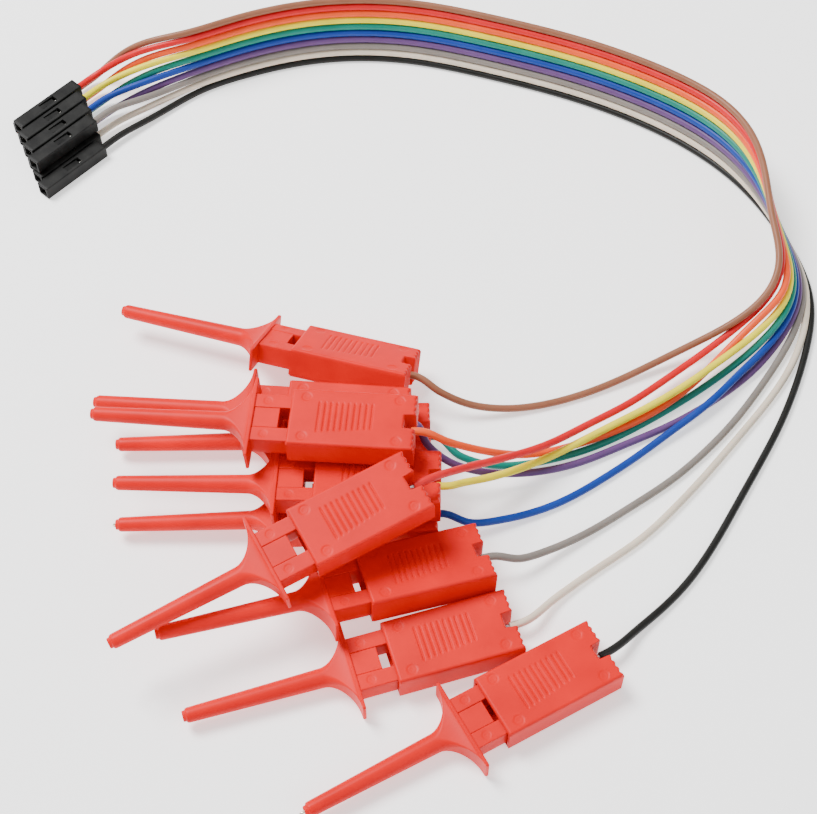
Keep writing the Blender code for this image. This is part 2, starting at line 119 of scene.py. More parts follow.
floor_half, floor_drop = 2600.0, 0.02
floor_x = np.linspace(-floor_half, floor_half, 5)
floor_points = np.stack([*np.meshgrid(floor_x, floor_x, indexing="ij"),
                         np.full((5, 5), -floor_drop)], axis=-1)
floor_finish = bpy.data.materials.new("table_sheet")
floor_finish.use_nodes = True
floor_shader = floor_finish.node_tree.nodes["Principled BSDF"]
floor_shader.inputs["Base Color"].default_value = (0.96, 0.96, 0.96, 1)
floor_shader.inputs["Emission Color"].default_value = (1.0, 1.0, 1.0, 1)
floor_shader.inputs["Emission Strength"].default_value = 0.80
floor_shader.inputs["Roughness"].default_value = 0.9
floor_shader.inputs["Specular IOR Level"].default_value = 0.1
floor = make_mesh_object("table", *join_grids([(floor_points, False)]), floor_finish)
if floor.data.polygons[0].normal.z < 0:
    floor.data.flip_normals()

# ---------------------------------------------------------------------------------------
# Each lead is stranded wire in a sleeve of coloured PVC. Ten of them are bonded side by
# side into a ribbon that stands on its black edge. It is split at both ends, and each
# lead then goes on alone, to its socket at one end and to its clip at the other.
LEAD_DIAMETER = 1.2
RIBBON_PITCH = 1.27
SET_CENTRE = (-9.4, -26.2, 0.0)
ROUTE_HEIGHT = 0.6
EARLY_RISE = 0.8
CRIMP_DEPTH = 3.0
SLEEVE_LENGTH = 19.0
HOUSING_LENGTH = 14.0
ROD_END = -18.0
LEAD_GAP = 0.3
LEAD_RINGS, LEAD_SIDES = 300, 20
SHOULDER_RISE, SHOULDER_SPREAD = 0.045, 0.42

# Linear colours of the insulation, in the ribbon's order from its lower edge upwards.
LEAD_COLOURS = {
    "black": (0.008, 0.008, 0.007),
    "white": (0.70, 0.60, 0.48),
    "grey": (0.21, 0.185, 0.165),
    "purple": (0.115, 0.050, 0.17),
    "blue": (0.004, 0.040, 0.29),
    "green": (0.002, 0.20, 0.15),
    "yellow": (0.84, 0.72, 0.012),
    "orange": (0.88, 0.085, 0.010),
    "red": (0.66, 0.003, 0.010),
    "brown": (0.27, 0.105, 0.055),
}

# The ribbon's lower edge, from the sockets round to the split, before SET_CENTRE is taken
# off. It leans from LEAN_START to LEAN_END degrees outwards, and turns at its far end.
RIBBON_EDGE = (
    (-38.8, 70.8), (-29.8, 75.0), (-20.5, 78.0), (-12.5, 79.2), (-5.0, 79.2), (2.2, 78.2),
    (9.7, 76.2), (17.1, 73.8), (24.5, 71.2), (31.8, 68.2), (38.9, 64.6), (45.9, 60.3),
    (52.7, 54.8), (58.6, 48.2), (62.8, 41.0), (66.0, 32.8), (68.0, 24.6),
)
LEAN_START, LEAN_END = 20.0, -36.0
LEAN_TURN_FROM = 95.0

# Each lead's own way from the split to its clip, with its height above the table.
LEAD_TAILS = {
    "black": ((68.0, 19.5, 0.6), (66.0, 11.5, 0.6), (63.0, 3.5, 0.6), (59.5, -4.0, 0.6),
              (55.5, -11.0, 0.6), (51.0, -18.5, 0.6), (46.5, -26.0, 0.6),
              (41.0, -33.5, 0.6), (34.5, -39.5, 0.9)),
    "white": ((67.0, 19.5, 1.5), (64.8, 11.5, 0.7), (61.0, 4.5, 0.6), (56.5, -1.5, 0.6),
              (51.5, -7.5, 0.6), (46.5, -13.5, 0.6), (41.0, -19.5, 0.6),
              (35.5, -25.0, 0.6), (29.0, -29.5, 0.6), (22.5, -34.5, 0.9)),
    "grey": ((66.1, 19.0, 2.2), (62.5, 11.3, 0.8), (58.0, 4.5, 0.6), (52.5, -3.0, 0.6),
             (47.0, -9.0, 0.6), (41.0, -14.5, 0.6), (34.5, -19.0, 0.6),
             (28.0, -23.5, 0.7), (22.0, -27.0, 1.6), (17.0, -29.5, 3.0)),
    "purple": ((65.3, 19.0, 3.1), (60.6, 11.3, 1.1), (55.5, 5.5, 0.8), (49.0, 0.5, 0.6),
               (42.0, -4.0, 0.6), (34.5, -7.5, 0.6), (26.5, -11.5, 0.9),
               (18.0, -14.0, 2.1), (11.5, -15.0, 4.0), (6.5, -14.8, 6.2),
               (3.0, -12.5, 7.9)),
    "blue": ((64.6, 19.0, 4.1), (59.6, 11.0, 2.2), (54.5, 6.0, 2.0), (48.5, -0.5, 1.9),
             (42.5, -5.0, 1.3), (36.0, -10.0, 0.6), (29.0, -15.0, 0.6),
             (22.5, -19.0, 0.7), (15.5, -21.5, 1.2), (9.5, -23.0, 2.4)),
    "green": ((64.0, 19.0, 5.2), (58.7, 11.5, 3.3), (53.5, 7.5, 1.2), (47.5, 3.0, 0.6),
              (41.0, -1.5, 0.6), (34.0, -5.8, 0.6), (27.5, -9.0, 0.6),
              (21.0, -10.8, 0.6), (14.5, -12.0, 0.8), (8.0, -10.5, 1.8)),
    "yellow": ((63.4, 19.0, 6.3), (58.3, 12.8, 4.5), (50.5, 6.8, 3.2), (44.8, 2.1, 3.3),
               (38.0, -2.3, 3.1), (30.5, -6.5, 3.0), (24.0, -10.5, 3.1),
               (18.5, -13.7, 3.9), (13.5, -16.3, 5.2), (8.5, -18.7, 7.3)),
    "orange": ((62.8, 19.0, 7.4), (57.3, 13.8, 5.6), (50.5, 8.0, 1.8), (44.8, 1.9, 1.9),
               (38.0, -3.1, 1.8), (30.5, -6.9, 1.8), (24.0, -9.4, 2.0),
               (18.0, -12.0, 4.2), (12.0, -13.5, 7.8), (6.0, -14.3, 11.8)),
    "red": ((60.7, 18.8, 7.3), (54.2, 13.3, 4.0), (48.5, 9.2, 2.4), (41.5, 3.9, 2.0),
            (35.0, -1.4, 2.6), (28.0, -6.0, 3.8), (22.0, -10.5, 5.2),
            (15.5, -14.5, 8.0), (8.5, -19.0, 12.0)),
    "brown": ((60.5, 19.0, 8.7), (54.0, 13.5, 5.3), (47.5, 11.0, 2.9), (40.0, 7.5, 1.5),
              (33.0, 4.0, 0.8), (25.5, 1.0, 0.6), (17.5, -1.0, 0.9), (10.5, -1.5, 2.3),
              (5.0, -0.2, 4.6)),
}

# How far each clip is rolled about its own length, in degrees, near side up.
CLIP_ROLL = {"grey": 7.1, "purple": 0.8, "blue": 7.0, "yellow": 6.9, "orange": 0.8,
             "red": -6.4, "brown": 28.5}

joint_axes = {joint["name"]: Vector(joint["axis"]) for joint in frame["joints"]}
mount_axes = {mount["name"]: Vector(mount["axis"]) for mount in frame["record"]["mounts"]}


def ease(value, low, high):
    """0 below low, 1 above high, and between them three times the square of the share of
    the way less twice its cube."""
    t = np.clip((value - low) / (high - low), 0, 1)
    return t * t * (3 - 2 * t)


def middle_of(node):
    """The middle of a node's box, in millimetres. A box turned in space keeps it."""
    low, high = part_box(node)
    return (Vector(low) + Vector(high)) / 2 / MM


def clip_frame(colour):
    """A clip's own frame, in millimetres: origin at the middle of the sleeve's front
    edge, +X to the tip of the nose (against the press), +Z up before it is rolled."""
    forward = -joint_axes["press_" + colour].normalized()
    aside = Vector((0, 0, 1)).cross(forward).normalized()
    up = forward.cross(aside)
    roll = math.radians(CLIP_ROLL.get(colour, 0.0))
    aside, up = (math.cos(roll) * aside + math.sin(roll) * up,
                 math.cos(roll) * up - math.sin(roll) * aside)
    place = middle_of("thumb_sleeve_" + colour) + forward * SLEEVE_LENGTH / 2
    return Matrix.Translation(place) @ Matrix((forward, aside, up)).transposed().to_4x4()


def socket_frame(colour):
    """A socket housing's own frame: origin at its cable end, +X along its lead."""
    forward = -mount_axes["pin_socket_" + colour].normalized()
    aside = Vector((0, 0, 1)).cross(forward)
    place = middle_of("socket_housing_" + colour) + forward * HOUSING_LENGTH / 2
    return Matrix.Translation(place) @ Matrix((forward, aside, (0, 0, 1))).transposed().to_4x4()


def ribbon_station():
    """The ribbon's lower edge, and the direction up the ribbon at each point of it."""
    edge = np.array([(x, y, ROUTE_HEIGHT) for x, y in RIBBON_EDGE])
    along = np.gradient(edge, axis=0)
    along /= np.linalg.norm(along, axis=1)[:, None]
    outwards = np.stack([-along[:, 1], along[:, 0], np.zeros(len(edge))], axis=1)
    run = np.concatenate([[0], np.cumsum(np.linalg.norm(np.diff(edge, axis=0), axis=1))])
    turn = ease(run, LEAN_TURN_FROM, run[-1])
    lean = np.radians(LEAN_START + (LEAN_END - LEAN_START) * turn)[:, None]
    up_ribbon = np.sin(lean) * outwards + np.cos(lean) * np.array([0, 0, 1])
    return edge - np.array(SET_CENTRE), up_ribbon


def ribbon_way(way):
    """The middle line of one way of the ribbon, and the direction up the ribbon there."""
    edge, up_ribbon = ribbon_station()
    return edge + way * RIBBON_PITCH * up_ribbon, up_ribbon


def lead_route(colour):
    """A lead's route, in millimetres: from inside its socket, up into its way of the
    ribbon before the ways close together, and on to its clip."""
    way = list(LEAD_COLOURS).index(colour)
    socket, clip = socket_frame(colour), clip_frame(colour)
    ribbon, _ = ribbon_way(way)
    start = [socket @ Vector((x, 0, 0)) for x in (-CRIMP_DEPTH, 0.5, 4.0)]
    halfway = (np.array(start[-1]) + ribbon[0]) / 2
    halfway[2] = start[-1].z + (ribbon[0][2] - start[-1].z) * EARLY_RISE
    end = [clip @ Vector((x, 0, 0)) for x in (ROD_END - 1.8, ROD_END - LEAD_GAP)]
    tail = np.array(LEAD_TAILS[colour]) - np.array(SET_CENTRE)
    return np.vstack([start, halfway[None], ribbon, tail, end])


def smooth_curve(route, samples):
    """Points evenly spaced along the smooth curve through a route's points. Each stretch
    is a cubic whose end slopes are the weighted mean of the slopes beside it."""
    step = np.linalg.norm(np.diff(route, axis=0), axis=1)
    slope = np.diff(route, axis=0) / step[:, None]
    tangent = np.empty_like(route)
    tangent[0], tangent[-1] = slope[0], slope[-1]
    before, after = step[:-1, None], step[1:, None]
    tangent[1:-1] = (slope[:-1] * after + slope[1:] * before) / (before + after)
    t = np.linspace(0, 1, 24, endpoint=False)[None, :, None]
    a, b = route[:-1, None], route[1:, None]
    ta, tb = tangent[:-1, None] * step[:, None, None], tangent[1:, None] * step[:, None, None]
    fine = ((2 * t**3 - 3 * t**2 + 1) * a + (t**3 - 2 * t**2 + t) * ta
            + (3 * t**2 - 2 * t**3) * b + (t**3 - t**2) * tb)
    fine = np.vstack([fine.reshape(-1, 3), route[-1:]])
    run = np.concatenate([[0], np.cumsum(np.linalg.norm(np.diff(fine, axis=0), axis=1))])
    wanted = np.linspace(0, run[-1], samples)
    return np.stack([np.interp(wanted, run, fine[:, axis]) for axis in range(3)], axis=1)


def running_mean(points, weights):
    """The weighted mean of each point and its neighbours, axis by axis. The first and last
    points are repeated beyond the line's ends."""
    reach = len(weights) // 2
    padded = np.pad(points, ((reach, reach), (0, 0)), mode="edge")
    return np.stack([np.convolve(padded[:, axis], weights, mode="valid")
                     for axis in range(3)], axis=1)


def settled(centres, reach=10):
    """The line without its small waves: each point becomes the bell-weighted mean of its
    neighbours within the reach, but the points near the two ends stay where they are."""
    bell = np.hanning(2 * reach + 3)[1:-1]
    mean = running_mean(centres, bell / bell.sum())
    number = np.arange(len(centres))
    share = ease(np.minimum(number, len(centres) - 1 - number), reach / 3, 2.2 * reach)
    return centres + share[:, None] * (mean - centres)


def tube_grid(centres, radii, sides, reference):
    """A tube along a line of points: at each, a ring of points at the radius given for
    its angle, counted from the reference direction. Ends are closed on their centres."""
    along = np.gradient(centres, axis=0)
    along /= np.linalg.norm(along, axis=1)[:, None]
    first = reference - (reference * along).sum(axis=1)[:, None] * along
    first /= np.linalg.norm(first, axis=1)[:, None]
    second = np.cross(along, first)
    angle = np.linspace(0, 2 * math.pi, sides, endpoint=False)
    radii = np.broadcast_to(radii, (len(centres), sides))
    spoke = (np.cos(angle)[None, :, None] * first[:, None]
             + np.sin(angle)[None, :, None] * second[:, None])
    rings = centres[:, None] + radii[..., None] * spoke
    start, end = (np.broadcast_to(centres[at], (1, sides, 3)) for at in (0, -1))
    return np.concatenate([start, rings, end])


def lead_radii(centres, way, sides):
    """The radius of a lead at each ring and angle: round, with a small shoulder on the
    sides that are bonded to the next leads, which fades out where the ribbon splits."""
    line, _ = ribbon_way(way)
    number = np.arange(len(centres))
    first, last = (np.linalg.norm(centres - line[at], axis=1).argmin() for at in (0, -1))
    bonded = ease(number, first, first + 6) * (1 - ease(number, last - 8, last))
    angle = np.linspace(0, 2 * math.pi, sides, endpoint=False)
    upper, lower = (np.exp(-(np.angle(np.exp(1j * (angle - side))) / SHOULDER_SPREAD) ** 2)
                    for side in (0, math.pi))
    shoulders = upper * (way < len(LEAD_COLOURS) - 1) + lower * (way > 0)
    return LEAD_DIAMETER / 2 + SHOULDER_RISE * bonded[:, None] * shoulders[None]


def new_finish(name):
    """A new material: itself, its node tree, its shader and its object coordinates."""
    finish = bpy.data.materials.new(name)
    finish.use_nodes = True
    tree = finish.node_tree
    where = tree.nodes.new("ShaderNodeTexCoord").outputs["Object"]
    return finish, tree, tree.nodes["Principled BSDF"], where


def add_noise(tree, where, scale, detail):
    """Cloudy noise over the piece, with its scale in clouds per metre."""
    noise = tree.nodes.new("ShaderNodeTexNoise")
    noise.inputs["Scale"].default_value = scale
    noise.inputs["Detail"].default_value = detail
    tree.links.new(where, noise.inputs["Vector"])
    return noise


def add_two_tones(tree, noise, shader, dark, light):
    """The base colour goes from one colour to the other with the noise."""
    tone = tree.nodes.new("ShaderNodeMix")
    tone.data_type = "RGBA"
    tone.inputs[6].default_value = (*dark, 1)
    tone.inputs[7].default_value = (*light, 1)
    tree.links.new(noise.outputs["Fac"], tone.inputs[0])
    tree.links.new(tone.outputs[2], shader.inputs["Base Color"])


def add_uneven_gloss(tree, noise, shader, low, high):
    """The roughness goes from low to high with the noise."""
    gloss = tree.nodes.new("ShaderNodeMapRange")
    gloss.inputs["To Min"].default_value = low
    gloss.inputs["To Max"].default_value = high
    tree.links.new(noise.outputs["Fac"], gloss.inputs["Value"])
    tree.links.new(gloss.outputs["Result"], shader.inputs["Roughness"])


def add_grain(tree, where, shader, scale, detail, strength, height):
    """A fine moulded or drawn texture, as a bump of a height in metres."""
    grain = add_noise(tree, where, scale, detail)
    bump = tree.nodes.new("ShaderNodeBump")
    bump.inputs["Strength"].default_value = strength
    bump.inputs["Distance"].default_value = height
    tree.links.new(grain.outputs["Fac"], bump.inputs["Height"])
    tree.links.new(bump.outputs["Normal"], shader.inputs["Normal"])


def insulation(name, colour):
    """PVC insulation: the colour with faint cloudy changes, a fine drawn texture and a
    satin gloss that is uneven from handling."""
    finish, tree, shader, where = new_finish(name)
    cloud = add_noise(tree, where, 260.0, 4.0)
    add_two_tones(tree, cloud, shader, [c * 0.80 for c in colour],
                  [min(1.0, c * 1.10 + 0.006) for c in colour])
    add_uneven_gloss(tree, cloud, shader, 0.28, 0.50)
    add_grain(tree, where, shader, 2600.0, 2.0, 0.10, 0.00005)
    shader.inputs["Specular IOR Level"].default_value = 0.22
    shader.inputs["Subsurface Weight"].default_value = 0.05
    shader.inputs["Subsurface Scale"].default_value = 0.0004
    return finish


leads = {}
lead_paths = {}
for way, (colour, tint) in enumerate(LEAD_COLOURS.items()):
    centres = settled(smooth_curve(lead_route(colour), LEAD_RINGS))
    centres[:, 2] = np.maximum(centres[:, 2], ROUTE_HEIGHT)
    line, up_ribbon = ribbon_way(way)
    near = np.linalg.norm(centres[:, None] - line[None], axis=2).argmin(axis=1)
    reference = running_mean(up_ribbon[near], np.ones(21) / 21)
    grid = tube_grid(centres, lead_radii(centres, way, LEAD_SIDES), LEAD_SIDES, reference)
    lead = make_mesh_object("insulated_lead_" + colour, *join_grids([(grid, True)]),
                            insulation("pvc_" + colour, tint), 60.0)
    leads[colour], lead_paths[colour] = lead, centres
    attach(lead, "handles")
    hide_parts("lead_" + colour)

# ---------------------------------------------------------------------------------------
# The thumb sleeve is moulded in red plastic: a shallow box with rounded edges, open in
# front for the barrel, with grooves for the thumb, four round marks left by the mould's
# ejector pins, a notch for the lead and a scalloped rear edge.
SLEEVE_WIDTH, SLEEVE_THICKNESS = 10.0, 5.0
SLEEVE_WALL = 0.5
SLEEVE_ROUND = 0.40
CAVITY_DEPTH = 16.5
NOTCH_WIDTH, NOTCH_DEPTH = 2.4, 1.7
SCALLOPS_FROM, SCALLOPS_TO, SCALLOP_WIDTH, SCALLOP_DEPTH = 1.5, 4.65, 1.05, 0.22
GROOVE_COUNT, GROOVE_FRONT_X, GROOVE_PITCH = 10, -4.4, 0.89
GROOVE_DEPTH, GROOVE_SPREAD, GROOVE_HALF_LENGTH, GROOVE_SHORTENING = 0.17, 0.13, 2.75, 0.05
EJECTOR_MARKS = ((-2.3, 3.55), (-2.3, -3.55), (-16.4, 3.65), (-16.4, -3.65))
MARK_RADIUS, MARK_DEPTH = 0.75, 0.08


def stations(breaks, pitches):
    """Numbers that run through the breaks given, evenly spaced between each two of them,
    no further apart than the pitch of that stretch."""
    runs = [np.linspace(a, b, max(1, math.ceil(abs(b - a) / pitch)), endpoint=False)
            for a, b, pitch in zip(breaks, breaks[1:], pitches)]
    return np.concatenate(runs + [[breaks[-1]]])


def rounded_rise(distance, radius):
    """How far a rounded edge falls below the face: a quarter circle over its radius."""
    inset = np.clip(radius - distance, 0, radius)
    return radius - np.sqrt(radius * radius - inset * inset)


def round_mark(x, y, at_x, at_y, radius, depth):
    """A flat round recess with a soft rim and a fine raised ring inside it."""
    away = np.hypot(x - at_x, y - at_y)
    dish = 1 - ease(away, radius - 0.10, radius + 0.10)
    ring = np.exp(-((away - radius * 0.62) / 0.10) ** 2)
    return depth * (dish - 0.35 * ring)


def thumb_grooves(x, y):
    """Thin grooves across the sleeve, each a bell curve along X, a little shorter towards
    the sleeve's rear."""
    depth = np.zeros_like(x)
    for number in range(GROOVE_COUNT):
        at = GROOVE_FRONT_X - GROOVE_PITCH * number
        shift = GROOVE_SHORTENING * number
        half = GROOVE_HALF_LENGTH - shift
        across = 1 - ease(np.abs(y + shift), half - 0.25, half + 0.1)
        depth += GROOVE_DEPTH * np.exp(-((x - at) / GROOVE_SPREAD) ** 2) * across
    return depth


def sleeve_relief(x, y):
    """All that is sunk into the sleeve's broad faces."""
    marks = sum(round_mark(x, y, *spot, MARK_RADIUS, MARK_DEPTH) for spot in EJECTOR_MARKS)
    return thumb_grooves(x, y) + marks


def rear_edge(y):
    """How far the rear end stands in from the sleeve's full length: the cable notch, with
    rounded lips, and three shallow scallops on each side of it."""
    away = np.abs(y)
    notch = NOTCH_DEPTH * (1 - ease(away, NOTCH_WIDTH / 2 - 0.03, NOTCH_WIDTH / 2 + 0.12))
    wave = (1 - np.cos((away - SCALLOPS_FROM) / SCALLOP_WIDTH * 2 * math.pi)) / 2
    return notch + SCALLOP_DEPTH * wave * (away > SCALLOPS_FROM) * (away < SCALLOPS_TO)


def sleeve_surface():
    """The sleeve in its clip's frame, from the outside in: two broad faces as heights over
    a grid, the side and rear faces as strips between them, the front rim as a frame, and
    the cavity's walls and floor. The grid is finest at the edges and over the grooves."""
    half_y, half_z = SLEEVE_WIDTH / 2, SLEEVE_THICKNESS / 2
    inner_y, inner_z = half_y - SLEEVE_WALL, half_z - SLEEVE_WALL
    xs = stations((-SLEEVE_LENGTH, -18.5, -13.3, -3.6, -0.45, 0.0),
                  (0.09, 0.15, 0.085, 0.14, 0.09))
    half_ys = stations((0.0, 1.05, 1.35, inner_y, half_y), (0.16, 0.06, 0.13, 0.07))
    ys = np.concatenate([-half_ys[::-1], half_ys[1:]])
    x, y = np.meshgrid(xs, ys, indexing="ij")
    edge = np.minimum(half_y - np.abs(y), np.minimum(-x, x + SLEEVE_LENGTH))
    corner = np.hypot(np.clip(SLEEVE_ROUND - (half_y - np.abs(y)), 0, None),
                      np.clip(SLEEVE_ROUND - np.minimum(-x, x + SLEEVE_LENGTH), 0, None))
    edge = np.where(corner > 0, SLEEVE_ROUND - corner, edge)
    edge = np.clip(edge, 0, None)
    height = half_z - rounded_rise(edge, SLEEVE_ROUND) - sleeve_relief(x, y) * ease(edge, 0.1, 0.5)
    rear_x = -18.9
    shifted = x + rear_edge(y) * (1 - ease(x, rear_x, rear_x + 2 * NOTCH_DEPTH))
    upper = np.stack([shifted, y, height], axis=-1)
    lower = np.stack([shifted, y, -height], axis=-1)
    grids = [(upper, False), (lower, False)]
    levels = np.linspace(1, -1, 9)[:, None, None]
    for line in (upper[:, 0], upper[:, -1], upper[0]):
        grids.append((np.broadcast_to(line[None], (9, *line.shape)) * np.array([1, 1, 0])
                      + line[None] * levels * np.array([0, 0, 1]), False))
    rim_line = upper[-1]
    rim = np.stack([np.broadcast_to(rim_line[:, 0], (2, len(ys))),
                    np.broadcast_to(rim_line[:, 1], (2, len(ys))),
                    np.stack([rim_line[:, 2], np.full(len(ys), inner_z)])], axis=-1)
    inside_y = np.clip(rim[..., 1], -inner_y, inner_y)
    rim[1, :, 1] = inside_y[1]
    grids += [(rim, False), (rim * np.array([1, 1, -1]), False)]
    for side in (-1, 1):
        outer = upper[-1, -1 if side > 0 else 0]
        zs = np.linspace(1, -1, 9)
        wall = [np.stack([np.zeros(9), np.full(9, side * wide), high * zs], axis=-1)
                for wide, high in ((half_y, outer[2]), (inner_y, inner_z))]
        grids.append((np.stack(wall), False))
    inner_ys = np.unique(np.clip(ys, -inner_y, inner_y))
    depth = np.linspace(0, -CAVITY_DEPTH, 5)
    for z in (inner_z, -inner_z):
        dx, dy = np.meshgrid(depth, inner_ys, indexing="ij")
        grids.append((np.stack([dx, dy, np.full_like(dx, z)], axis=-1), False))
    zs = inner_z * np.linspace(1, -1, 9)
    for side in (-inner_y, inner_y):
        dx, dz = np.meshgrid(depth, zs, indexing="ij")
        grids.append((np.stack([dx, np.full_like(dx, side), dz], axis=-1), False))
    dy, dz = np.meshgrid(inner_ys, zs, indexing="ij")
    grids.append((np.stack([np.full_like(dy, -CAVITY_DEPTH), dy, dz], axis=-1), False))
    return join_grids(grids)


def add_ramp(tree, noise, low, dark, high, light):
    """One colour where the noise is below low, the other above high, mixed between."""
    tone = tree.nodes.new("ShaderNodeValToRGB")
    for stop, position, colour in zip(tone.color_ramp.elements, (low, high), (dark, light)):
        stop.position = position
        stop.color = (*colour, 1)
    tree.links.new(noise.outputs["Fac"], tone.inputs["Fac"])
    return tone.outputs["Color"]


def clip_plastic():
    """Satin moulded plastic: one red with faint cloudy changes and a few paler rubbed
    spots, a fine moulded grain, and a gloss that changes a little from place to place."""
    finish, tree, shader, where = new_finish("clip_red_plastic")
    cloud = add_noise(tree, where, 140.0, 5.0)
    tone = add_ramp(tree, cloud, 0.25, (0.60, 0.001, 0.001), 0.80, (0.78, 0.003, 0.002))
    rub = add_noise(tree, where, 900.0, 3.0)
    rub.inputs["Roughness"].default_value = 0.7
    spots = tree.nodes.new("ShaderNodeMapRange")
    spots.inputs["From Min"].default_value = 0.62
    spots.inputs["From Max"].default_value = 0.78
    spots.inputs["To Max"].default_value = 0.18
    tree.links.new(rub.outputs["Fac"], spots.inputs["Value"])
    worn = tree.nodes.new("ShaderNodeMix")
    worn.data_type = "RGBA"
    worn.inputs[7].default_value = (0.82, 0.03, 0.02, 1)
    tree.links.new(spots.outputs["Result"], worn.inputs[0])
    tree.links.new(tone, worn.inputs[6])
    tree.links.new(worn.outputs[2], shader.inputs["Base Color"])
    add_uneven_gloss(tree, cloud, shader, 0.38, 0.54)
    add_grain(tree, where, shader, 3400.0, 2.0, 0.16, 0.00004)
    shader.inputs["Specular IOR Level"].default_value = 0.17
    shader.inputs["Subsurface Weight"].default_value = 0.10
    shader.inputs["Subsurface Radius"].default_value = (1.0, 0.15, 0.10)
    shader.inputs["Subsurface Scale"].default_value = 0.0006
    return finish


def placed_copy(name, pattern, place, finish):
    """A copy of a piece made in its own frame, with its place put into its mesh."""
    data = pattern.data.copy()
    data.name = name
    metres = place.copy()
    metres.translation = metres.translation * MM
    data.transform(metres)
    data.materials.clear()
    data.materials.append(finish)
    thing = bpy.data.objects.new(name, data)
    bpy.context.scene.collection.objects.link(thing)
    return thing


red_plastic = clip_plastic()
sleeve_pattern = make_mesh_object("sleeve_pattern", *sleeve_surface(), None, 40.0)
for colour in LEAD_COLOURS:
    sleeve = placed_copy("grip_sleeve_" + colour, sleeve_pattern, clip_frame(colour), red_plastic)
    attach(sleeve, "handles")
    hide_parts("thumb_sleeve_" + colour)
bpy.data.objects.remove(sleeve_pattern, do_unlink=True)

# ---------------------------------------------------------------------------------------
# The barrel is one red moulding: a flat neck that slides in the sleeve, with a window and
# a middle strip, a finger guard with two wings that sweeps like a trumpet into the long
# tapered nose, and a bore through the nose for the hook wire.
GUARD_X, GUARD_HALF_SPAN, GUARD_HALF_THICKNESS, GUARD_FRONT_X = 5.5, 7.1, 2.0, 10.2
MOUTH_RADIUS, MOUTH_DEPTH, NOSE_BORE_RADIUS, NOSE_BORE_DEPTH = 0.62, 1.5, 0.5, 1.5
NOSE_TIP_X, NOSE_ROOT_RADIUS, NOSE_TIP_RADIUS = 30.6, 1.45, 1.1
NECK_REAR_X, NECK_HALF_WIDTH, NECK_HALF_THICKNESS = -8.0, 4.2, 1.7
NECK_FRONT_X = GUARD_X + 0.3
NECK_MARK_X, NECK_MARK_Y, NECK_MARK_RADIUS, NECK_MARK_DEPTH = 3.6, 3.0, 0.62, 0.06
STRIP_HALF_WIDTH = 1.75
WINDOW_REAR_X, WINDOW_FRONT_X = -2.4, 1.6
BARREL_REST = {"black": 1.0, "blue": 0.6}


def rounded_loop(half_wide, half_high, radius, corner_steps=8, side_steps=10):
    """Points round a rectangle with rounded corners, as (y, z), starting at +Y. Arrays of
    sizes give one loop for each of them."""
    half_wide, half_high, radius = [np.asarray(sizes, float)[:, None]
                                    for sizes in (half_wide, half_high, radius)]
    turn = np.linspace(0, math.pi / 2, corner_steps)[None]
    t = np.linspace(0, 1, side_steps, endpoint=False)[1:][None]
    y0, z0 = half_wide - radius, half_high - radius
    arc_y, arc_z = y0 + radius * np.cos(turn), z0 + radius * np.sin(turn)
    quarter_y = np.concatenate([half_wide + 0 * t, arc_y, y0 * (1 - t)], axis=1)
    quarter_z = np.concatenate([z0 * t, arc_z, half_high + 0 * t], axis=1)
    start = np.concatenate([half_wide, 0 * half_wide], axis=1)
    top = np.concatenate([0 * half_wide, half_high], axis=1)
    ys = np.concatenate([start[:, :1], quarter_y, top[:, :1], -quarter_y[:, ::-1],
                         -start[:, :1], -quarter_y, -top[:, :1], quarter_y[:, ::-1]], axis=1)
    zs = np.concatenate([start[:, 1:], quarter_z, top[:, 1:], quarter_z[:, ::-1],
                         start[:, 1:], -quarter_z, -top[:, 1:], -quarter_z[:, ::-1]], axis=1)
    return ys, zs


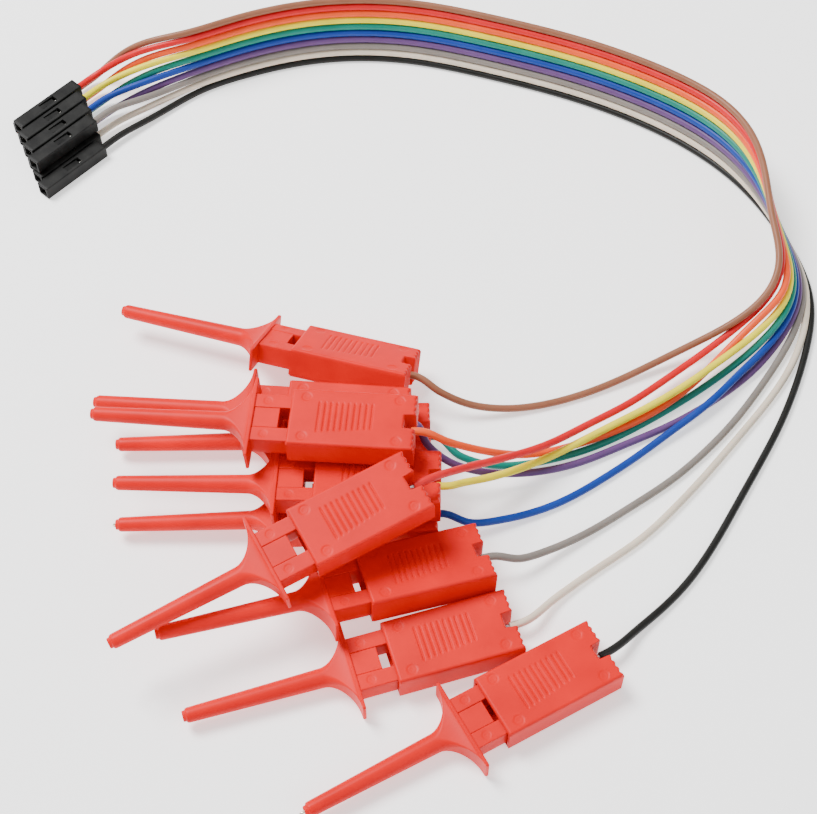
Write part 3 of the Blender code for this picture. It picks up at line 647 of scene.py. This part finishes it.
def guard_and_nose_grid():
    """The guard and nose as rounded rectangles of changing size along X. The guard's back
    is flat and its wings end in thin edges. Its front sweeps in as a quarter of an ellipse,
    and the nose tapers to a rounded tip that ends in a short collar round the hook's mouth."""
    turn = np.linspace(0, math.pi / 2, 6)
    edge = 0.16
    back_x = GUARD_X + edge * (1 - np.cos(turn))
    back_y = GUARD_HALF_SPAN - edge * (1 - np.sin(turn))
    back_z = GUARD_HALF_THICKNESS - edge * (1 - np.sin(turn))
    wing_x = GUARD_X + np.array([0.35, 0.43, 0.49])
    wing_y = GUARD_HALF_SPAN - np.array([0.0, 0.02, 0.07])
    wing_z = np.full(3, GUARD_HALF_THICKNESS)
    sweep = np.linspace(0, math.pi / 2, 44)
    start_x, start_y = wing_x[-1] + 0.03, wing_y[-1] - 0.09
    sweep_x = GUARD_FRONT_X - (GUARD_FRONT_X - start_x) * np.cos(sweep)
    sweep_y = start_y - (start_y - NOSE_ROOT_RADIUS) * np.sin(sweep)
    sweep_z = GUARD_HALF_THICKNESS - (GUARD_HALF_THICKNESS - NOSE_ROOT_RADIUS) * np.sin(sweep)
    shank_x = np.linspace(GUARD_FRONT_X, NOSE_TIP_X - 0.95, 30)[1:]
    share = (shank_x - GUARD_FRONT_X) / (NOSE_TIP_X - GUARD_FRONT_X)
    shank_r = NOSE_ROOT_RADIUS + (NOSE_TIP_RADIUS - NOSE_ROOT_RADIUS) * share
    tip_x = np.concatenate([shank_x[-1] + 0.5 * np.sin(turn[1:]),
                            NOSE_TIP_X - np.array([0.40, 0.12, 0.03])])
    tip_r = np.concatenate([shank_r[-1] - 0.26 * (1 - np.cos(turn[1:])), [0.82, 0.80, 0.74]])
    mouth_floor = NOSE_TIP_X - MOUTH_DEPTH
    bore_floor = mouth_floor - NOSE_BORE_DEPTH
    mouth_x = np.array([NOSE_TIP_X, NOSE_TIP_X - 0.06, mouth_floor, mouth_floor,
                        bore_floor, bore_floor])
    mouth_r = np.array([MOUTH_RADIUS + 0.04, MOUTH_RADIUS, MOUTH_RADIUS, NOSE_BORE_RADIUS,
                        NOSE_BORE_RADIUS, 0.001])
    x = np.concatenate([[GUARD_X], back_x, wing_x, sweep_x, shank_x, tip_x, mouth_x])
    half_y = np.concatenate([[0.01], back_y, wing_y, sweep_y, shank_r, tip_r, mouth_r])
    half_z = np.concatenate([[0.01], back_z, wing_z, sweep_z, shank_r, tip_r, mouth_r])
    limit = np.minimum(half_y, half_z)
    nearly_round = 0.999
    corner = np.where(x >= GUARD_FRONT_X, nearly_round,
                      0.12 + 0.87 * ease(x, GUARD_X + 1.0, GUARD_FRONT_X))
    corner[-len(mouth_x):] = nearly_round
    y, z = rounded_loop(half_y, half_z, limit * corner)
    return np.stack([np.broadcast_to(x[:, None], y.shape), y, z], axis=-1)


def bar_grids(x_from, x_to, y_from, y_to, half_z, radius, relief=None):
    """A flat bar with rounded edges: two faces as heights over a grid, lowered by the
    relief given, and strips round its sides."""
    xs = stations((x_from, x_from + radius, x_to - radius, x_to), (radius / 4, 0.12, radius / 4))
    ys = stations((y_from, y_from + radius, y_to - radius, y_to), (radius / 4, 0.12, radius / 4))
    x, y = np.meshgrid(xs, ys, indexing="ij")
    in_x = np.clip(radius - np.minimum(x - x_from, x_to - x), 0, None)
    in_y = np.clip(radius - np.minimum(y - y_from, y_to - y), 0, None)
    edge = np.clip(radius - np.hypot(in_x, in_y), 0, None)
    sunk = relief(x, y) if relief else 0.0
    height = half_z - rounded_rise(edge, radius) - sunk * ease(edge, 0.5 * radius, radius)
    upper = np.stack([x, y, height], axis=-1)
    grids = [(upper, False), (upper * np.array([1, 1, -1]), False)]
    levels = np.linspace(1, -1, 5)[:, None, None]
    for line in (upper[:, 0], upper[:, -1], upper[0], upper[-1]):
        grids.append((line[None] * np.array([1, 1, 0])
                      + line[None] * levels * np.array([0, 0, 1]), False))
    return grids


def neck_relief(x, y):
    """A round ejector mark on each side of the neck, next to the guard."""
    return round_mark(x, np.abs(y), NECK_MARK_X, NECK_MARK_Y, NECK_MARK_RADIUS, NECK_MARK_DEPTH)


def barrel_surface():
    """The barrel in its clip's frame: guard and nose, the neck's two side bars, and the
    middle strip in front of the window and behind it, a hair's breadth lower."""
    seam, bar_edge, strip_edge = 0.03, 0.14, 0.10
    strip_half = NECK_HALF_THICKNESS - 0.06
    inner_y = STRIP_HALF_WIDTH + seam
    grids = [(guard_and_nose_grid(), True)]
    for low, high in ((inner_y, NECK_HALF_WIDTH), (-NECK_HALF_WIDTH, -inner_y)):
        grids += bar_grids(NECK_REAR_X, NECK_FRONT_X, low, high,
                           NECK_HALF_THICKNESS, bar_edge, neck_relief)
    for low, high in ((NECK_REAR_X, WINDOW_REAR_X), (WINDOW_FRONT_X, NECK_FRONT_X)):
        grids += bar_grids(low, high, -STRIP_HALF_WIDTH, STRIP_HALF_WIDTH, strip_half, strip_edge)
    return join_grids(grids)


barrel_pattern = make_mesh_object("barrel_pattern", *barrel_surface(), None, 38.0)
for colour in LEAD_COLOURS:
    place = clip_frame(colour) @ Matrix.Translation((-BARREL_REST.get(colour, 0.0), 0, 0))
    barrel = placed_copy("guard_and_nose_" + colour, barrel_pattern, place, red_plastic)
    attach(barrel, "barrel_" + colour)
    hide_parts("hook_barrel_" + colour)
bpy.data.objects.remove(barrel_pattern, do_unlink=True)

# ---------------------------------------------------------------------------------------
# The hook is bent from hard plated wire. It is fixed in the sleeve's rear wall, where the
# lead is soldered to it, and runs through the spring, beside the window and along the
# nose to a small hook that rests in the mouth of the tip.
HOOK_RADIUS = 0.2
HOOK_ASIDE = 2.2


def metal(name, colour, roughness, streaks):
    """Bright metal with a slightly uneven tone and gloss."""
    finish, tree, shader, where = new_finish(name)
    shader.inputs["Metallic"].default_value = 1.0
    mottle = add_noise(tree, where, streaks, 4.0)
    add_two_tones(tree, mottle, shader, [c * 0.72 for c in colour], colour)
    add_uneven_gloss(tree, mottle, shader, roughness - 0.08, roughness + 0.12)
    return finish


hook_route = np.array([
    (ROD_END, 0, 0), (-12.5, 0, 0), (-7.6, 0, 0), (-6.2, 0.35, 0), (-5.0, HOOK_ASIDE - 0.4, 0),
    (-4.0, HOOK_ASIDE, 0), (0.9, HOOK_ASIDE, 0), (1.7, HOOK_ASIDE - 0.5, 0), (2.7, 0.4, 0),
    (3.5, 0, 0), (17.0, 0, 0), (NOSE_TIP_X - 2.0, 0, 0), (NOSE_TIP_X - 0.9, 0, 0.12),
    (NOSE_TIP_X - 0.40, 0, 0.08), (NOSE_TIP_X - 0.22, 0, -0.14), (NOSE_TIP_X - 0.40, 0, -0.34),
    (NOSE_TIP_X - 0.75, 0, -0.38)])
hook_line = smooth_curve(hook_route, 260)
hook_reference = np.broadcast_to(np.array([0, 1.0, 0.3]), hook_line.shape)
hook_pattern = make_mesh_object("hook_pattern", *join_grids([
    (tube_grid(hook_line, HOOK_RADIUS, 12, hook_reference), True)]), None, 60.0)
plated = metal("plated_hook_wire", (0.80, 0.74, 0.60), 0.24, 700.0)
for colour in LEAD_COLOURS:
    hook = placed_copy("plated_hook_" + colour, hook_pattern, clip_frame(colour), plated)
    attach(hook, "handles")
    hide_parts("hook_wire_" + colour)
bpy.data.objects.remove(hook_pattern, do_unlink=True)

# ---------------------------------------------------------------------------------------
# The return spring is wound from steel wire round the hook wire. It pushes between the
# sleeve's rear wall and the neck. In the clip it shortens as the sleeve is pressed; here it is
# wound once, at its length with the sleeve at rest.
SPRING_REAR_X = -16.2
SPRING_COIL_RADIUS, SPRING_WIRE_RADIUS, SPRING_TURNS = 1.28, 0.17, 9
SPRING_GAP = 0.3
STEPS_PER_TURN = 20

spring_steel = metal("spring_steel_wire", (0.66, 0.65, 0.62), 0.30, 1400.0)
for colour in LEAD_COLOURS:
    rest = BARREL_REST.get(colour, 0.0)
    length = NECK_REAR_X - rest - SPRING_GAP - SPRING_REAR_X
    t = np.linspace(0, 1, SPRING_TURNS * STEPS_PER_TURN + 1)
    # The end turns lie close together, as on a spring whose ends are closed.
    flat_ends = ease(t, 0.0, 1.0) * 0.12 + 0.88 * np.clip((t - 0.06) / 0.88, 0, 1)
    turn = t * SPRING_TURNS * 2 * math.pi
    inset = SPRING_WIRE_RADIUS
    coil = np.stack([SPRING_REAR_X + inset + (length - 2 * inset) * flat_ends,
                     SPRING_COIL_RADIUS * np.cos(turn), SPRING_COIL_RADIUS * np.sin(turn)], axis=1)
    grid = tube_grid(coil, SPRING_WIRE_RADIUS, 8,
                     np.broadcast_to(np.array([1.0, 0, 0]), coil.shape))
    pattern = make_mesh_object("spring_pattern", *join_grids([(grid, True)]), None, 60.0)
    spring = placed_copy("wound_spring_" + colour, pattern, clip_frame(colour), spring_steel)
    bpy.data.objects.remove(pattern, do_unlink=True)
    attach(spring, "handles")
    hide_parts("return_spring_" + colour)
    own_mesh(spring)

# ---------------------------------------------------------------------------------------
# Each lead's bare end is soldered to the hook wire in the sleeve's notch: a small uneven
# bead of tin.
solder = metal("solder_tin", (0.62, 0.62, 0.63), 0.34, 900.0)
bead_half_length, bead_radius, bead_unevenness = 0.62, 0.50, 0.10
bead_t = np.linspace(0, math.pi, 17)
bead_x = ROD_END + 0.25 - bead_half_length * np.cos(bead_t)
bead_r = bead_radius * np.sin(bead_t) ** 0.7 * (1 + bead_unevenness * np.sin(3 * bead_t))
bead_line = np.stack([bead_x, 0 * bead_x, 0 * bead_x], axis=1)
bead_pattern = make_mesh_object("bead_pattern", *join_grids([
    (tube_grid(bead_line, np.clip(bead_r, 0.001, None)[:, None], 16,
               np.broadcast_to(np.array([0, 1.0, 0]), bead_line.shape)), True)]), None, 80.0)
for colour in LEAD_COLOURS:
    bead = placed_copy("solder_bead_" + colour, bead_pattern, clip_frame(colour), solder)
    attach(bead, "handles")
bpy.data.objects.remove(bead_pattern, do_unlink=True)

# ---------------------------------------------------------------------------------------
# The socket housing is moulded in black nylon: a square block with soft edges and a square
# bore, a lead-in round the mating hole, and a window whose tongue latches the contact.
HOUSING_HALF = 1.27
BORE_HALF = 0.85
HOUSING_ROUND = 0.16
WINDOW_LOW_X, WINDOW_HIGH_X, WINDOW_HALF_WIDTH = -8.6, -5.2, 0.65


def housing_surface():
    """The housing in its own frame: loops of a rounded square carried along X on the
    outside, over each end's rim and back through the bore. The upper wall has the latch
    window: its faces there are left out, and four strips close the wall's thickness."""
    outer_x = stations((0.0, WINDOW_HIGH_X, WINDOW_LOW_X, -HOUSING_LENGTH), (0.6, 0.5, 0.6))
    window_share = WINDOW_HALF_WIDTH / HOUSING_HALF
    side = np.array([-1, -0.97, -0.9, -0.7, -window_share, -0.3, 0, 0.3,
                     window_share, 0.7, 0.9, 0.97])
    flat = np.ones(len(side))
    loop = np.concatenate([np.stack([side, flat], 1), np.stack([flat, -side], 1),
                           np.stack([-side, -flat], 1), np.stack([-flat, side], 1)])
    round_share = HOUSING_ROUND / HOUSING_HALF
    corner = np.maximum(np.abs(loop) - (1 - round_share), 0)
    reach = np.hypot(*corner.T)
    fix = np.where(reach > 0, np.minimum(1, round_share / np.maximum(reach, 1e-9)), 1)
    rounded = np.where(corner > 0, np.sign(loop) * (1 - round_share + corner * fix[:, None]), loop)
    inner = loop * BORE_HALF
    inner[:, 0] = np.where(np.abs(loop[:, 0]) == window_share,
                           np.sign(loop[:, 0]) * WINDOW_HALF_WIDTH, inner[:, 0])
    bevel = HOUSING_ROUND
    rim = ((0.0, HOUSING_HALF - bevel), (bevel * 0.3, HOUSING_HALF - bevel * 0.3),
           (bevel, HOUSING_HALF))
    body = [x for x in outer_x if -HOUSING_LENGTH + bevel < x < -bevel]
    sections = [(-x, rounded * size) for x, size in rim]
    sections += [(x, rounded * HOUSING_HALF) for x in body]
    sections += [(-HOUSING_LENGTH + x, rounded * size) for x, size in rim[::-1]]
    mouth = [(-HOUSING_LENGTH, inner * 1.10), (-HOUSING_LENGTH + 0.35, inner)]
    back = [(x, inner) for x in body[::-1]]
    sections += mouth + back + [(0.0, inner)]
    grid = np.stack([np.concatenate([np.full((len(yz), 1), x), yz], axis=1) for x, yz in sections])
    grid = np.concatenate([grid, grid[:1]])
    points, faces = join_grids([(grid, True)])
    columns = len(loop)
    row, column = faces[:, 0] // columns, faces[:, 0] % columns
    row_x = np.array([x for x, _ in sections] + [0.0])
    low_x = np.minimum(row_x[row], row_x[row + 1])
    high_x = np.maximum(row_x[row], row_x[row + 1])
    # The window lies between these two columns of the loop, and between these two places.
    left, right = 4, 8
    rear, front = WINDOW_LOW_X - 1e-6, WINDOW_HIGH_X + 1e-6
    faces = faces[~((low_x >= rear) & (high_x <= front) & (column >= left) & (column < right))]
    window_x = np.array(sorted({x for x in body if rear <= x <= front}))
    strips = []
    for y in (-WINDOW_HALF_WIDTH, WINDOW_HALF_WIDTH):
        strips.append(np.stack([np.stack([window_x, np.full_like(window_x, y),
                                          np.full_like(window_x, z)], axis=1)
                                for z in (HOUSING_HALF, BORE_HALF)]))
    across = slice(left, right + 1)
    for x in (window_x[0], window_x[-1]):
        strips.append(np.stack([np.concatenate([np.full((len(line), 1), x), line], axis=1)
                                for line in (rounded[across] * HOUSING_HALF, inner[across])]))
    more, more_faces = join_grids([(strip, False) for strip in strips])
    return np.concatenate([points, more]), np.concatenate([faces, more_faces + len(points)])


def tongue_surface():
    """The latch tongue that fills most of the window, hinged at its front end and sloping
    a little into the bore at its free end."""
    x0, x1, half = WINDOW_LOW_X + 0.02, WINDOW_HIGH_X - 0.45, WINDOW_HALF_WIDTH - 0.14
    sunk, slope, thickness = 0.10, 0.22, 0.26
    xs = np.linspace(x0, x1, 8)
    share = (xs - x0) / (x1 - x0)
    top = HOUSING_HALF - sunk - slope * share
    ys = np.array([-half, -half + 0.05, 0, half - 0.05, half])
    upper = np.stack([np.broadcast_to(xs[:, None], (8, 5)), np.broadcast_to(ys, (8, 5)),
                      top[:, None] - np.array([0.05, 0, 0, 0, 0.05])[None]], axis=-1)
    lower = upper - np.array([0, 0, thickness])
    sides = [np.stack([upper[:, 0], lower[:, 0]]), np.stack([upper[:, -1], lower[:, -1]]),
             np.stack([upper[0], lower[0]]), np.stack([upper[-1], lower[-1]])]
    return join_grids([(upper, False), (lower, False)] + [(side, False) for side in sides])


def housing_plastic():
    """Black nylon with a dusty satin face: dark grey clouds and a fine moulded grain."""
    finish, tree, shader, where = new_finish("socket_black_nylon")
    cloud = add_noise(tree, where, 420.0, 6.0)
    tone = add_ramp(tree, cloud, 0.30, (0.003, 0.003, 0.003), 0.78, (0.016, 0.016, 0.015))
    tree.links.new(tone, shader.inputs["Base Color"])
    add_uneven_gloss(tree, cloud, shader, 0.40, 0.60)
    add_grain(tree, where, shader, 3000.0, 3.0, 0.22, 0.00004)
    shader.inputs["Specular IOR Level"].default_value = 0.16
    return finish


black_nylon = housing_plastic()
housing_pattern = make_mesh_object("housing_pattern", *housing_surface(), None, 38.0)
tongue_pattern = make_mesh_object("tongue_pattern", *tongue_surface(), None, 38.0)
housings = {}
tongues = {}
for colour in LEAD_COLOURS:
    place = socket_frame(colour)
    housings[colour] = placed_copy("nylon_housing_" + colour, housing_pattern, place, black_nylon)
    tongues[colour] = placed_copy("latch_tongue_" + colour, tongue_pattern, place, black_nylon)
    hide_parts("socket_housing_" + colour)
    for piece in (housings[colour], tongues[colour]):
        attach(piece, "handles")
bpy.data.objects.remove(housing_pattern, do_unlink=True)
bpy.data.objects.remove(tongue_pattern, do_unlink=True)

# ---------------------------------------------------------------------------------------
# Inside each housing is a crimped contact of thin tinned sheet: a square box that grips
# the pin, and a rolled crimp that is folded over the lead's end.


def contact_surface():
    """The contact: a thin square box from the mating end, narrowing into a round crimp
    barrel that holds the insulation. Outer loops run back, inner loops return."""
    outer = [(-13.4, 0.74, 0.06), (-8.9, 0.74, 0.06), (-8.1, 0.55, 0.30), (-6.8, 0.50, 0.45),
             (-4.6, 0.55, 0.54), (-3.4, 0.79, 0.77), (-1.6, 0.79, 0.77)]
    sheet = 0.12
    inner = [(x, half - sheet, max(0.02, radius - 0.10)) for x, half, radius in outer]
    x, half, radius = np.array(outer + inner[::-1] + outer[:1]).T
    y, z = rounded_loop(half, half, radius, 5, 4)
    return join_grids([(np.stack([np.broadcast_to(x[:, None], y.shape), y, z], axis=-1), True)])


tinned = metal("tinned_contact", (0.78, 0.76, 0.70), 0.26, 500.0)
contact_pattern = make_mesh_object("contact_pattern", *contact_surface(), None, 40.0)
for colour in LEAD_COLOURS:
    place = socket_frame(colour)
    contact = placed_copy("crimped_contact_" + colour, contact_pattern, place, tinned)
    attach(contact, "handles")
    path = lead_paths[colour] * MM
    length = float(np.linalg.norm(np.diff(path, axis=0), axis=1).sum())
bpy.data.objects.remove(contact_pattern, do_unlink=True)

# ---------------------------------------------------------------------------------------
# Soft studio light: a broad lamp behind on the left as the main light, a weaker one on the
# right in front, and an even pale surround.


def soft_lamp(name, place, power, size):
    """A square lamp that faces the set."""
    light = bpy.data.lights.new(name, "AREA")
    light.energy = power
    light.size = size
    lamp = bpy.data.objects.new(name, light)
    bpy.context.scene.collection.objects.link(lamp)
    lamp.location = place
    lamp.rotation_euler = (camera_aim - Vector(place)).to_track_quat("-Z", "Y").to_euler()


soft_lamp("main_lamp", (-0.36, 0.26, 0.70), 13.0, 0.34)
soft_lamp("front_lamp", (0.55, -0.45, 0.60), 2.2, 0.60)
surround = bpy.data.worlds.new("studio_surround")
surround.use_nodes = True
surround.node_tree.nodes["Background"].inputs["Color"].default_value = (1.0, 1.0, 1.0, 1)
surround.node_tree.nodes["Background"].inputs["Strength"].default_value = 0.55
bpy.context.scene.world = surround
